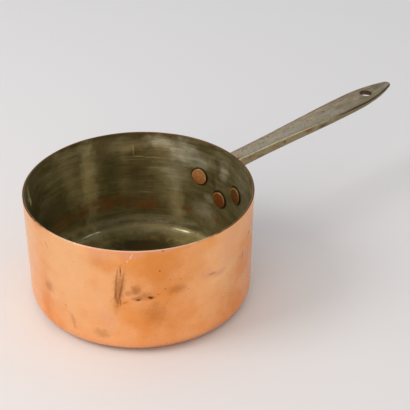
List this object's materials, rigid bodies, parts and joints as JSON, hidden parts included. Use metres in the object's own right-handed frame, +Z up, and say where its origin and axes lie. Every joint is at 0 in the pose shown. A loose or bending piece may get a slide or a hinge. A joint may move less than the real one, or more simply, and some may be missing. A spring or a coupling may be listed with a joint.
{
  "type": "copper saucepan",
  "caption": "Round, straight-sided saucepan of tinned copper sheet with a long flat cast iron handle, riveted on and pierced at its tip for hanging.",
  "frame": {"origin": "centre of the flat base, on the surface that the pan stands on", "axes": "+X from the pan's axis out along the handle, +Z up out of the pan's mouth"},
  "size_m": [0.3938, 0.1814, 0.096],
  "materials": {
    "copper_shell": "satin polished copper with brown heat stains",
    "tin_lining": "wiped tin, tarnished dull grey-green",
    "cast_iron": "worn grey-brown iron, cast and dressed",
    "bright_rivet": "copper rubbed bright",
    "brown_rivet": "copper tarnished brown"
  },
  "bodies": {
    "root": {"pan_body": "copper_shell", "tin_lining": "tin_lining", "handle": "cast_iron", "left_rivet": "bright_rivet", "right_rivet": "brown_rivet", "lower_rivet": "brown_rivet"}
  },
  "joints": []
}
